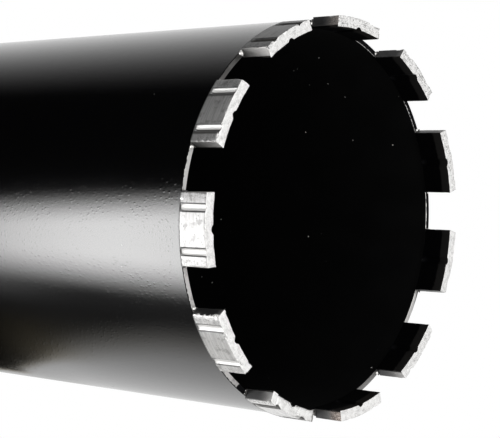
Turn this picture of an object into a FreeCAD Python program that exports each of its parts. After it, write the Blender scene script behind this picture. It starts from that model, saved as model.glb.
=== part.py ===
import FreeCAD, Part
import math
import os

# A long wet diamond core bit that stands on its coupling hub, with its mouth up.
# The origin is the centre of the hub's end face, and +Z runs up the barrel to the segments.
# All sizes are in millimetres.

# Cutting ring
bit_diameter = 142.0
segment_count = 11
segment_length = 24.0
segment_thickness = 4.0
segment_height = 11.5
segment_corner_chamfer = 0.3

# Grooves that run up a segment: one near each end of its outer face, one in the middle of its inner face
outer_groove_offset = 7.1
outer_groove_width = 2.6
outer_groove_depth = 1.0
inner_groove_width = 3.0
inner_groove_depth = 0.9
groove_lip_chamfer = 0.2

# Fused seam between the barrel and each segment
seam_height = 0.5
seam_overhang = 0.7
seam_flare = 0.7

# Barrel
barrel_diameter = 140.0
barrel_wall = 2.0
drilling_depth = 450.0
mouth_outer_chamfer = 0.3
mouth_inner_chamfer = 0.2

# End plate
plate_thickness = 10.0
plate_shoulder_height = 6.0
plate_edge_chamfer = 1.5
plate_bore_diameter = 40.0
weld_groove_depth = 1.5
barrel_weld_crown = 0.45

# Coupling hub, tapped 1 1/4 in - 7 UNC and shown here at the thread's inner diameter
hub_diameter = 50.0
hub_height = 45.0
hub_edge_chamfer = 1.5
thread_inner_diameter = 28.1
thread_lead_chamfer = 2.35
thread_exit_chamfer = 1.0
spanner_width = 41.0
spanner_flat_bottom = 12.0
spanner_flat_height = 20.0
hub_weld_leg = 4.0
hub_weld_crown = 0.5

# Heights and radii that follow from the driving dimensions
plate_bottom = hub_height
plate_top = plate_bottom + plate_thickness
barrel_bottom = plate_bottom + plate_shoulder_height
mouth_front = plate_top + drilling_depth
segment_base = mouth_front - segment_height
barrel_top = segment_base - seam_height
segment_outer_radius = bit_diameter / 2
segment_inner_radius = segment_outer_radius - segment_thickness
barrel_outer_radius = barrel_diameter / 2
barrel_inner_radius = barrel_outer_radius - barrel_wall
hub_radius = hub_diameter / 2
plate_bore_radius = plate_bore_diameter / 2
thread_radius = thread_inner_diameter / 2

tiny = 1e-6
up = FreeCAD.Vector(0, 0, 1)
centre = FreeCAD.Vector(0, 0, 0)


def at(radius, height):
    """A point of a turned piece's half section."""
    return FreeCAD.Vector(radius, 0, height)


def turned(points, angle=360.0):
    """The solid that a closed half section sweeps about the bit's axis."""
    face = Part.Face(Part.makePolygon(points + points[:1]))
    return face.revolve(centre, up, angle)


def groove_radius(width, depth):
    """Radius of a round-bottomed groove with this mouth and depth."""
    return (width * width / 4 + depth * depth) / (2 * depth)


def axial_edges(shape, bottom, top):
    """The straight edges that run the whole height from bottom to top."""
    found = []
    for edge in shape.Edges:
        heights = sorted(vertex.Z for vertex in edge.Vertexes)
        spans = len(heights) == 2 and abs(heights[0] - bottom) < tiny and abs(heights[1] - top) < tiny
        if spans:
            found.append(edge)
    return found


def place_round_ring(shape, index):
    """Turn a piece made on +X to its place. The numbers run clockwise as seen from the mouth."""
    placed = shape.copy()
    placed.rotate(centre, up, -360.0 * index / segment_count)
    return placed


# Barrel: a drawn steel tube, bevelled below for its weld and lightly broken at the mouth
def barrel_tube():
    return turned([
        at(barrel_inner_radius, barrel_bottom),
        at(barrel_outer_radius - weld_groove_depth, barrel_bottom),
        at(barrel_outer_radius, barrel_bottom + weld_groove_depth),
        at(barrel_outer_radius, barrel_top - mouth_outer_chamfer),
        at(barrel_outer_radius - mouth_outer_chamfer, barrel_top),
        at(barrel_inner_radius + mouth_inner_chamfer, barrel_top),
        at(barrel_inner_radius, barrel_top - mouth_inner_chamfer),
    ])


# End plate: a turned disc whose spigot centres the barrel and whose shoulder carries it
def end_plate():
    return turned([
        at(plate_bore_radius, plate_bottom),
        at(barrel_outer_radius - plate_edge_chamfer, plate_bottom),
        at(barrel_outer_radius, plate_bottom + plate_edge_chamfer),
        at(barrel_outer_radius, barrel_bottom - weld_groove_depth),
        at(barrel_outer_radius - weld_groove_depth, barrel_bottom),
        at(barrel_inner_radius, barrel_bottom),
        at(barrel_inner_radius, plate_top),
        at(plate_bore_radius, plate_top),
    ])


# Weld that fills the groove between the barrel and the end plate
def end_plate_weld():
    return turned([
        at(barrel_outer_radius - weld_groove_depth, barrel_bottom),
        at(barrel_outer_radius, barrel_bottom - weld_groove_depth),
        at(barrel_outer_radius + barrel_weld_crown, barrel_bottom),
        at(barrel_outer_radius, barrel_bottom + weld_groove_depth),
    ])


# Coupling hub: round bar, bored for the thread, with two spanner flats and a spigot in the plate
def coupling_hub():
    hub = turned([
        at(thread_radius + thread_lead_chamfer, 0),
        at(hub_radius - hub_edge_chamfer, 0),
        at(hub_radius, hub_edge_chamfer),
        at(hub_radius, hub_height),
        at(plate_bore_radius, hub_height),
        at(plate_bore_radius, plate_top),
        at(thread_radius + thread_exit_chamfer, plate_top),
        at(thread_radius, plate_top - thread_exit_chamfer),
        at(thread_radius, thread_lead_chamfer),
    ])
    for side in (0, 180):
        corner = FreeCAD.Vector(-hub_radius, spanner_width / 2, spanner_flat_bottom)
        flat = Part.makeBox(hub_diameter, hub_radius, spanner_flat_height, corner)
        flat.rotate(centre, up, side)
        hub = hub.cut(flat)
    return hub


# Fillet weld that joins the hub to the underside of the end plate
def hub_weld():
    reach = hub_weld_leg / 2 + hub_weld_crown / math.sqrt(2)
    return turned([
        at(hub_radius, plate_bottom),
        at(hub_radius, plate_bottom - hub_weld_leg),
        at(hub_radius + reach, plate_bottom - reach),
        at(hub_radius + hub_weld_leg, plate_bottom),
    ])


def segment_blank():
    """A curved bar with parallel sides, centred on +X."""
    half = segment_length / 2
    outer_corner_x = math.sqrt(segment_outer_radius ** 2 - half ** 2)
    inner_corner_x = math.sqrt(segment_inner_radius ** 2 - half ** 2)
    outer_start = FreeCAD.Vector(outer_corner_x, -half, segment_base)
    outer_middle = FreeCAD.Vector(segment_outer_radius, 0, segment_base)
    outer_end = FreeCAD.Vector(outer_corner_x, half, segment_base)
    inner_start = FreeCAD.Vector(inner_corner_x, half, segment_base)
    inner_middle = FreeCAD.Vector(segment_inner_radius, 0, segment_base)
    inner_end = FreeCAD.Vector(inner_corner_x, -half, segment_base)
    edges = [
        Part.Arc(outer_start, outer_middle, outer_end).toShape(),
        Part.LineSegment(outer_end, inner_start).toShape(),
        Part.Arc(inner_start, inner_middle, inner_end).toShape(),
        Part.LineSegment(inner_end, outer_start).toShape(),
    ]
    return Part.Face(Part.Wire(edges)).extrude(up * segment_height)


def groove_cutter(offset, face_radius, width, depth, outside):
    """An upright rod that cuts one groove, offset sideways from the segment's middle."""
    rod_radius = groove_radius(width, depth)
    lift = rod_radius - depth
    rod_distance = face_radius + lift if outside else face_radius - lift
    turn = math.asin(offset / face_radius)
    foot = FreeCAD.Vector(
        rod_distance * math.cos(turn),
        rod_distance * math.sin(turn),
        segment_base - segment_height,
    )
    return Part.makeCylinder(rod_radius, 3 * segment_height, foot, up)


# Cutting segment: sintered metal and diamond, grooved so that water reaches the cutting face
def cutting_segment():
    bar = segment_blank()
    for side in (-1, 1):
        bar = bar.cut(groove_cutter(
            side * outer_groove_offset, segment_outer_radius, outer_groove_width, outer_groove_depth, True
        ))
    bar = bar.cut(groove_cutter(0.0, segment_inner_radius, inner_groove_width, inner_groove_depth, False))
    half = segment_length / 2
    uprights = axial_edges(bar, segment_base, mouth_front)
    corners = [edge for edge in uprights if abs(abs(edge.Vertexes[0].Y) - half) < tiny]
    bar = bar.makeChamfer(segment_corner_chamfer, corners)
    lips = [
        edge for edge in axial_edges(bar, segment_base, mouth_front)
        if abs(edge.Vertexes[0].Y) < outer_groove_offset + outer_groove_width
    ]
    return bar.makeChamfer(groove_lip_chamfer, lips)


# Seam under a segment: a thin bead that flares from the barrel's end to the segment's base
def segment_seam():
    seat_inner = barrel_inner_radius + mouth_inner_chamfer
    seat_outer = barrel_outer_radius - mouth_outer_chamfer
    section = [
        at(seat_inner, barrel_top),
        at(seat_outer, barrel_top),
        at(seat_outer + seam_flare, segment_base),
        at(seat_inner - seam_flare, segment_base),
    ]
    half_angle = math.degrees(math.asin((segment_length / 2 + seam_overhang) / barrel_outer_radius))
    seam = turned(section, 2 * half_angle)
    seam.rotate(centre, up, -half_angle)
    return seam


def save(shape, name):
    """Write one piece, after checking that it is one sound solid."""
    solids = shape.Solids
    if len(solids) != 1 or not solids[0].isValid():
        raise ValueError(f"{name} isn't one sound solid")
    solids[0].exportStep(f"parts/{name}.step")
    print(name, "volume", round(solids[0].Volume, 1))


os.makedirs("parts", exist_ok=True)
save(barrel_tube(), "barrel_tube")
save(end_plate(), "end_plate")
save(end_plate_weld(), "end_plate_weld")
save(coupling_hub(), "coupling_hub")
save(hub_weld(), "hub_weld")
one_segment = cutting_segment()
one_seam = segment_seam()
for index in range(segment_count):
    save(place_round_ring(one_segment, index), f"segment_{index + 1:02d}")
    save(place_round_ring(one_seam, index), f"segment_weld_{index + 1:02d}")
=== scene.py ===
"""Dresses a long wet diamond core bit that stands on its coupling hub, and lights it in a small studio."""

import logging
import math
from dataclasses import dataclass, field
from enum import Enum
from functools import reduce
from typing import Any, Mapping, Optional, Sequence, Union

import bmesh
import bpy
from mathutils import Matrix, Quaternion, Vector, noise


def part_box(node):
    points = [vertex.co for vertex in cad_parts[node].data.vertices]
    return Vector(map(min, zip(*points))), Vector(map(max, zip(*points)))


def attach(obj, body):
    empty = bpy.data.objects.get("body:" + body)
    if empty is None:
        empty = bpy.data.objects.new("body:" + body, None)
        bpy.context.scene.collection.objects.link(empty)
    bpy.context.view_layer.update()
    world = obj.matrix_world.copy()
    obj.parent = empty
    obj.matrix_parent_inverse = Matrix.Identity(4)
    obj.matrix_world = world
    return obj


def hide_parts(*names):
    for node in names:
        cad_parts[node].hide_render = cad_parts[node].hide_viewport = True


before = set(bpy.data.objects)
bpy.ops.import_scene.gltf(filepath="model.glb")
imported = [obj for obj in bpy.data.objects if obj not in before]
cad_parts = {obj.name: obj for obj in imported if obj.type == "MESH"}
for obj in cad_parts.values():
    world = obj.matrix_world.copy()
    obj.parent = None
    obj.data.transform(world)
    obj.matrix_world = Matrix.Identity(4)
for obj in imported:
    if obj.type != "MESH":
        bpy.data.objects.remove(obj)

LOG = logging.getLogger("core_bit")

MM = 0.001
BODY = "root"
AXIS = Vector((0.0, 0.0, 1.0))
CENTRE = Vector((0.0, 0.0, 0.0))
WHITE = (1.0, 1.0, 1.0, 1.0)

Pair = tuple[float, float]
Triple = tuple[float, float, float]
Colour = Triple
Section = Sequence[Pair]


class Slot(Enum):
    """The material slots that the bit's record names."""

    PAINT = "black_paint"
    SEGMENT = "sintered_segment"
    SEAM = "weld_bead"
    PAINTED_WELD = "painted_weld"
    HUB = "hub_steel"


class Face(Enum):
    """The faces of a cutting segment."""

    FRONT = "front"
    OUTSIDE = "outside"
    INSIDE = "inside"
    END = "end"
    BASE = "base"


# Shader building


class Signal:
    """One output socket. Python's operators on it add the matching Math nodes."""

    def __init__(self, nodes: "Nodes", socket: bpy.types.NodeSocket) -> None:
        """Keep the socket and the nodes that it belongs to."""
        self.nodes = nodes
        self.socket = socket

    def _math(self, operation: str, first: "Feed", second: "Feed" = 0.0) -> "Signal":
        """Add one Math node.

        Args:
            operation: The Math node's operation.
            first: Its first value or link.
            second: Its second value or link.

        Returns:
            The node's result.
        """
        return self.nodes.signal("ShaderNodeMath", {"operation": operation}, {0: first, 1: second})

    def __add__(self, other: "Feed") -> "Signal":
        """Sum of two values."""
        return self._math("ADD", self, other)

    def __sub__(self, other: "Feed") -> "Signal":
        """Difference of two values."""
        return self._math("SUBTRACT", self, other)

    def __rsub__(self, other: "Feed") -> "Signal":
        """Difference of a number and this value."""
        return self._math("SUBTRACT", other, self)

    def __mul__(self, other: "Feed") -> "Signal":
        """Product of two values."""
        return self._math("MULTIPLY", self, other)

    def __truediv__(self, other: "Feed") -> "Signal":
        """Quotient of two values."""
        return self._math("DIVIDE", self, other)

    def __pow__(self, other: "Feed") -> "Signal":
        """This value raised to a power."""
        return self._math("POWER", self, other)

    __radd__ = __add__
    __rmul__ = __mul__

    def larger(self, other: "Feed") -> "Signal":
        """The larger of two values."""
        return self._math("MAXIMUM", self, other)

    def smaller(self, other: "Feed") -> "Signal":
        """The smaller of two values."""
        return self._math("MINIMUM", self, other)

    def size(self) -> "Signal":
        """This value without its sign."""
        return self._math("ABSOLUTE", self)

    def rise(self, low: float, high: float) -> "Signal":
        """A smooth step from 0 at low to 1 at high.

        Args:
            low: The value at which the step starts.
            high: The value at which it ends, which may be below low for a falling step.

        Returns:
            The step.
        """
        sockets = {0: self, 1: min(low, high), 2: max(low, high)}
        step = self.nodes.signal("ShaderNodeMapRange", {"interpolation_type": "SMOOTHSTEP"}, sockets)
        return 1.0 - step if high < low else step


Feed = Union[float, Sequence[float], Signal]


class Nodes:
    """A node tree, and the one way to add to it."""

    def __init__(self, tree: bpy.types.NodeTree) -> None:
        """Keep the tree."""
        self.tree = tree

    def node(
        self,
        kind: str,
        settings: Optional[Mapping[str, Any]] = None,
        sockets: Optional[Mapping[Union[int, str], Feed]] = None,
    ) -> bpy.types.Node:
        """Add one node.

        Args:
            kind: The node's type.
            settings: Its properties, which are set first.
            sockets: Values or links for its inputs, by name or by number.

        Returns:
            The node.
        """
        node = self.tree.nodes.new(kind)
        for name, value in (settings or {}).items():
            setattr(node, name, value)
        for name, value in (sockets or {}).items():
            self.feed(node, name, value)
        return node

    def signal(
        self,
        kind: str,
        settings: Optional[Mapping[str, Any]] = None,
        sockets: Optional[Mapping[Union[int, str], Feed]] = None,
        output: Union[int, str] = 0,
    ) -> Signal:
        """Add one node and take one of its outputs.

        Args:
            kind: The node's type.
            settings: Its properties.
            sockets: Values or links for its inputs.
            output: The output's name or number.

        Returns:
            The output.
        """
        return Signal(self, self.node(kind, settings, sockets).outputs[output])

    def feed(self, node: bpy.types.Node, name: Union[int, str], value: Feed) -> None:
        """Link a signal to an input, or set the input's own value.

        Args:
            node: The node.
            name: The input's name or number.
            value: What it gets.
        """
        socket = node.inputs[name]
        if isinstance(value, Signal):
            self.tree.links.new(value.socket, socket)
        else:
            socket.default_value = value

    def shown(self) -> Signal:
        """Tell what is seen from the light that falls on things.

        Returns:
            1 for what the camera, gloss and clear surfaces show, and 0 for light.
        """
        path = self.node("ShaderNodeLightPath")
        kinds = ("Is Camera Ray", "Is Glossy Ray", "Is Transmission Ray")
        return reduce(Signal.larger, [Signal(self, path.outputs[kind]) for kind in kinds])


class Recipe(Nodes):
    """One material's node tree, with a Principled shader that waits to be fed."""

    def __init__(self, name: str) -> None:
        """Start the material.

        Args:
            name: The material's name.
        """
        self.material = bpy.data.materials.new(name)
        self.material.use_nodes = True
        super().__init__(self.material.node_tree)
        self.surface = self.tree.nodes["Principled BSDF"]
        self.place = self.signal("ShaderNodeTexCoord", output="Object")

    def dress(self, **feeds: Feed) -> None:
        """Feed the Principled shader. An underscore in a name stands for a space.

        Args:
            **feeds: Values or links by the shader's input names.
        """
        for name, value in feeds.items():
            plain = (*value, 1.0) if isinstance(value, tuple) else value
            self.feed(self.surface, name.replace("_", " "), plain)

    def show(self, shader: bpy.types.Node) -> None:
        """Make another shader the material's own."""
        self.tree.links.new(shader.outputs[0], self.tree.nodes["Material Output"].inputs["Surface"])

    def attribute(self, name: str, output: str = "Vector") -> Signal:
        """What the mesh carries under this name."""
        return self.signal("ShaderNodeAttribute", {"attribute_name": name}, {}, output)

    def stretched(self, factors: Sequence[float], place: Optional[Signal] = None) -> Signal:
        """Coordinates multiplied axis by axis.

        Args:
            factors: One factor for each axis.
            place: The coordinates, or Object coordinates where left out.

        Returns:
            The new coordinates.
        """
        sockets = {0: place or self.place, 1: factors}
        return self.signal("ShaderNodeVectorMath", {"operation": "MULTIPLY"}, sockets)

    def scaled(self, colour: Signal, factor: Signal) -> Signal:
        """A colour made brighter or darker."""
        return self.signal("ShaderNodeVectorMath", {"operation": "SCALE"}, {0: colour, "Scale": factor})

    def shifted(self, offset: Sequence[float]) -> Signal:
        """Object coordinates moved by an offset."""
        return self.signal("ShaderNodeVectorMath", {"operation": "ADD"}, {0: self.place, 1: offset})

    def noise(
        self, size: float, detail: float = 2.0, place: Optional[Signal] = None, rough: float = 0.5
    ) -> Signal:
        """Cloudy noise from 0 to 1.

        Args:
            size: Length of one cell, in metres.
            detail: Number of finer layers.
            place: The coordinates, or Object coordinates where left out.
            rough: Strength of each finer layer.

        Returns:
            The noise.
        """
        sockets = {"Vector": place or self.place, "Scale": 1.0 / size, "Detail": detail, "Roughness": rough}
        return self.signal("ShaderNodeTexNoise", {}, sockets, "Fac")

    def rings(self, along: Signal, pitch: float, detail: float) -> Signal:
        """Fine lines of uneven strength, as a turning tool leaves them.

        Args:
            along: The distance that they are crossed in, in metres.
            pitch: Distance between them, in metres.
            detail: Number of finer layers.

        Returns:
            The lines, from 0 to 1.
        """
        sockets = {"W": along * (1.0 / pitch), "Detail": detail}
        return self.signal("ShaderNodeTexNoise", {"noise_dimensions": "1D"}, sockets, "Fac")

    def cells(self, size: float, place: Optional[Signal] = None, feature: str = "F1") -> Signal:
        """Voronoi cells.

        Args:
            size: Distance between neighbouring cells, in metres.
            place: The coordinates, or Object coordinates where left out.
            feature: The Voronoi node's feature.

        Returns:
            The distance in units of one cell.
        """
        sockets = {"Vector": place or self.place, "Scale": 1.0 / size}
        return self.signal("ShaderNodeTexVoronoi", {"feature": feature}, sockets, "Distance")

    def axes(self, place: Optional[Signal] = None) -> tuple[Signal, Signal, Signal]:
        """Split coordinates into three values.

        Args:
            place: The coordinates, or Object coordinates where left out.

        Returns:
            X, Y and Z.
        """
        node = self.node("ShaderNodeSeparateXYZ", {}, {0: place or self.place})
        return tuple(Signal(self, node.outputs[number]) for number in range(3))

    def radius(self, place: Optional[Signal] = None) -> Signal:
        """Distance from an upright axis.

        Args:
            place: Coordinates from that axis, or from the bit's own axis where left out.

        Returns:
            The distance.
        """
        x, y, _ = self.axes(place)
        return (x * x + y * y) ** 0.5

    def toward(self, azimuth: float) -> Signal:
        """How far the place lies round to an azimuth.

        Args:
            azimuth: The azimuth, in degrees.

        Returns:
            1 at the azimuth, and -1 on the far side.
        """
        x, y, _ = self.axes()
        turn = math.radians(azimuth)
        return (x * math.cos(turn) + y * math.sin(turn)) / self.radius()

    def blend(self, share: Feed, first: Union[Colour, Signal], second: Union[Colour, Signal]) -> Signal:
        """Mix two colours.

        Args:
            share: Share of the second colour.
            first: The first colour.
            second: The second colour.

        Returns:
            The mixture.
        """
        pair = [value if isinstance(value, Signal) else (*value, 1.0) for value in (first, second)]
        return self.signal("ShaderNodeMix", {"data_type": "RGBA"}, {0: share, 6: pair[0], 7: pair[1]}, 2)

    def bump(self, height: Signal, depth: float, under: Optional[Signal] = None) -> Signal:
        """Relief from a height.

        Args:
            height: The height, from 0 to 1.
            depth: How far the surface rises at a height of 1, in metres.
            under: Relief that this one lies on.

        Returns:
            The normal for the shader.
        """
        sockets: dict[Union[int, str], Feed] = {"Height": height, "Distance": depth, "Strength": 1.0}
        if under is not None:
            sockets["Normal"] = under
        return self.signal("ShaderNodeBump", {}, sockets)


class SegmentRecipe(Recipe):
    """A recipe that knows its place on a cutting segment, from what the segment's mesh carries.

    PLACE holds the sideways place, the depth below the outside and the height, in millimetres. The second
    vector holds the painted light and shade that scales each segment's ground grey, the overspray on the ends
    and the grit in front. The third holds the darkening of the outer grooves, partly grime and partly painted
    shade, the crust on the ends and the painted shade on the far side of the grooves. Each mask is 1 on what
    it is named for.
    """

    PLACE = "segment_place"
    FINISH = "segment_finish"
    SOIL = "segment_soil"

    def __init__(self, name: str, size: Triple, groove_place: float) -> None:
        """Start the material with its masks and its grains.

        Args:
            name: The material's name.
            size: Half length, thickness and height of the segment, in millimetres.
            groove_place: How far the outer grooves lie from the middle, in millimetres.
        """
        super().__init__(name)
        half_length, thickness, top = size
        self.along = self.attribute(self.PLACE)
        self.sideways, self.depth, self.height = self.axes(self.along)
        self.tone, self.overspray, self.grit = self.axes(self.attribute(self.FINISH))
        self.dirt_and_shade, self.crust, self.shade = self.axes(self.attribute(self.SOIL))
        across = self.sideways.size()
        off_groove = (across - groove_place).size()
        _, _, up = self.axes(self.signal("ShaderNodeNewGeometry", output="Normal"))

        self.lump = self.overspray.rise(-0.6, -0.9)
        self.front = up.rise(0.35, 0.7) * self.height.rise(top - 1.6, top - 1.2)
        self.outside = self.depth.rise(1.5, 1.2) * across.rise(half_length - 0.07, half_length - 0.2)
        self.outside = self.outside * (1.0 - self.front)
        self.land = self.depth.rise(0.4, 0.2) * self.outside
        # The groove walls and each groove's closed start, which are painted black further down as painted
        # shade, partly overspray.
        groove_start = off_groove.rise(1.5, 1.2) * self.height.rise(0.75, 0.4)
        groove_side = off_groove.rise(0.98, 1.2) * off_groove.rise(1.62, 1.42)
        self.wall = groove_side.larger(groove_start) * self.outside
        self.near_end = across.rise(half_length - 3.4, half_length - 1.5)
        deep = self.depth.rise(thickness - 0.9, thickness - 0.6)
        inner_groove = self.depth.rise(thickness - 1.7, thickness - 1.4) * across.rise(2.3, 2.0)
        self.inside = deep.larger(inner_groove) * (1.0 - self.front) * (1.0 - self.outside)
        self.end = (1.0 - self.outside) * (1.0 - self.inside) * (1.0 - self.front)
        side = self.signal("ShaderNodeMath", {"operation": "SIGN"}, {0: self.sideways})
        # Painted shade: a signed offset from each outer groove, on the side where the shade falls.
        self.painted_shade_offset = (self.sideways - side * groove_place) * self.shade

        self.coarse = self.noise(1.6 * MM, 4.0, rough=0.65)
        self.grain = self.noise(0.42 * MM, 3.0, rough=0.7)
        self.streak = self.noise(0.45 * MM, 4.0, self.stretched((0.04, 0.04, 1.0)), 0.6)
        self.stain = self.noise(2.6 * MM, 4.0, rough=0.62)
        self.crater = self.cells(0.62 * MM).rise(0.3, 0.1) * self.noise(1.9 * MM).rise(0.52, 0.64)
        self.fleck = self.cells(0.55 * MM).rise(0.25, 0.12) * self.noise(1.7 * MM).rise(0.5, 0.62)
        self.pit = self.cells(1.1 * MM).rise(0.2, 0.08)
        self.pit = self.pit * (self.noise(4.0 * MM, 1.0) + self.near_end * 0.16).rise(0.5, 0.62)


# Finishes


@dataclass(frozen=True)
class BlackPaint:
    """Semi-gloss black paint with faint orange peel, patches of nibs, fine dust and hairline scratches."""

    name: str = "black_paint"
    colour: Colour = (0.0016, 0.0016, 0.0018)
    dust_colour: Colour = (0.10, 0.10, 0.095)
    roughness: float = 0.13
    index: float = 1.6
    peel_size: float = 0.9 * MM
    peel_depth: float = 0.016 * MM
    nib_size: float = 1.3 * MM
    nib_patch: float = 6.0 * MM
    nib_depth: float = 0.019 * MM
    drawn_pitch: float = 0.6 * MM
    cloud_size: float = 38.0 * MM
    dust_size: float = 5.0 * MM
    dust_patch: float = 23.0 * MM
    dust_shift: Triple = (0.1, 0.0, 0.0)
    scratch_pitch: float = 11.0 * MM
    scratch_patch: float = 9.0 * MM

    def material(self) -> bpy.types.Material:
        """Build the material.

        Returns:
            The material.
        """
        recipe = Recipe(self.name)
        peel = recipe.noise(self.peel_size, 3.0, recipe.stretched((1.0, 1.0, 0.75)), 0.65)
        nibs = recipe.cells(self.nib_size, recipe.stretched((1.0, 1.0, 0.8))).rise(0.36, 0.08)
        nibs = nibs * recipe.noise(self.nib_patch).rise(0.34, 0.56)
        drawn = recipe.noise(self.drawn_pitch, 3.0, recipe.stretched((1.0, 1.0, 0.02)))
        cloud = recipe.noise(self.cloud_size, 3.0)
        dusty = recipe.noise(self.dust_patch, 1.0, recipe.shifted(self.dust_shift)).rise(0.48, 0.6)
        mote = recipe.cells(self.dust_size).rise(0.045, 0.03) * dusty
        crossed = recipe.cells(self.scratch_pitch, recipe.stretched((1.0, 1.0, 0.08)), "DISTANCE_TO_EDGE")
        hairline = crossed.rise(0.003, 0.0) * recipe.noise(self.scratch_patch).rise(0.64, 0.74)
        recipe.dress(
            Base_Color=recipe.blend(mote, self.colour, self.dust_colour),
            Roughness=(
                (cloud - 0.5) * 0.05 + (drawn - 0.5) * 0.03 + hairline * 0.06 + mote * 0.3 + self.roughness
            ),
            Normal=recipe.bump(nibs, self.nib_depth, recipe.bump(peel, self.peel_depth)),
            IOR=self.index,
        )
        return recipe.material


@dataclass(frozen=True)
class InnerPaint:
    """The same paint inside the barrel, drier and with tiny specks."""

    name: str = "inner_paint"
    colour: Colour = (0.0016, 0.0016, 0.0017)
    speck_colour: Colour = (0.9, 0.9, 0.86)
    roughness: float = 0.42
    index: float = 1.4
    speck_size: float = 6.0 * MM
    speck_patch: float = 20.0 * MM
    cloud_size: float = 9.0 * MM
    spray_size: float = 0.5 * MM
    spray_depth: float = 0.01 * MM

    def material(self) -> bpy.types.Material:
        """Build the material.

        Returns:
            The material.
        """
        recipe = Recipe(self.name)
        speck = recipe.cells(self.speck_size).rise(0.05, 0.03)
        speck = speck * recipe.noise(self.speck_patch, 1.0).rise(0.42, 0.5)
        recipe.dress(
            Base_Color=recipe.blend(speck, self.colour, self.speck_colour),
            Roughness=(recipe.noise(self.cloud_size, 3.0) - 0.5) * 0.15 + self.roughness,
            Normal=recipe.bump(recipe.noise(self.spray_size, 3.0), self.spray_depth),
            IOR=self.index,
        )
        return recipe.material


@dataclass(frozen=True)
class CutRim:
    """The barrel's bare end: parted steel with turning lines, and paint that runs in over its outer edge.

    Each dull place is an azimuth in degrees and a strength.
    """

    outer_radius: float
    name: str = "bare_rim"
    steel: Colour = (0.52, 0.51, 0.5)
    stain: Colour = (0.05, 0.048, 0.046)
    paint: Colour = (0.004, 0.004, 0.0045)
    ring_pitch: float = 0.12 * MM
    ring_depth: float = 0.012 * MM
    cloud_size: float = 4.0 * MM
    edge_cover: float = 0.22 * MM
    edge_blur: float = 0.06 * MM
    ragged_size: float = 0.9 * MM
    ragged_reach: float = 0.5 * MM
    run_in: float = 1.68 * MM
    run_azimuth: float = -70.0
    dull_places: Sequence[Pair] = ((14.0, 1.0), (180.0, 0.78))
    blotch_azimuth: float = 119.3
    blotch_size: float = 3.4 * MM
    blotch_reach: float = 2.0 * MM

    def material(self) -> bpy.types.Material:
        """Build the material.

        Returns:
            The material.
        """
        recipe = Recipe(self.name)
        radius = recipe.radius()
        rings = recipe.rings(radius, self.ring_pitch, 3.0)
        cloud = recipe.noise(self.cloud_size, 4.0)
        covered = recipe.toward(self.run_azimuth).rise(0.15, 0.5) * self.run_in
        ragged = radius + covered + (recipe.noise(self.ragged_size, 3.0) - 0.5) * self.ragged_reach
        edge = self.outer_radius - self.edge_cover
        turn = math.radians(self.blotch_azimuth)
        to_blotch = (-self.outer_radius * math.cos(turn), -self.outer_radius * math.sin(turn), 0.0)
        apart = recipe.radius(recipe.shifted(to_blotch)) + (cloud - 0.5) * self.blotch_reach
        painted = ragged.rise(edge - self.edge_blur, edge + self.edge_blur)
        painted = painted.larger(apart.rise(self.blotch_size, self.blotch_size - 0.5 * MM))
        places = [recipe.toward(azimuth).rise(0.93, 0.98) * share for azimuth, share in self.dull_places]
        dull = reduce(Signal.larger, places)
        stained = (cloud.rise(0.5, 0.72) * 0.55 + rings * 0.2).larger(dull * (cloud * 0.3 + 0.75))
        bare = recipe.blend(stained.smaller(1.0), self.steel, self.stain)
        recipe.dress(
            Base_Color=recipe.blend(painted, bare, self.paint),
            Metallic=1.0 - painted,
            Roughness=rings * 0.16 + cloud * 0.1 + 0.3,
            Normal=recipe.bump(rings, self.ring_depth),
            IOR=1.05,
        )
        return recipe.material


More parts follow.
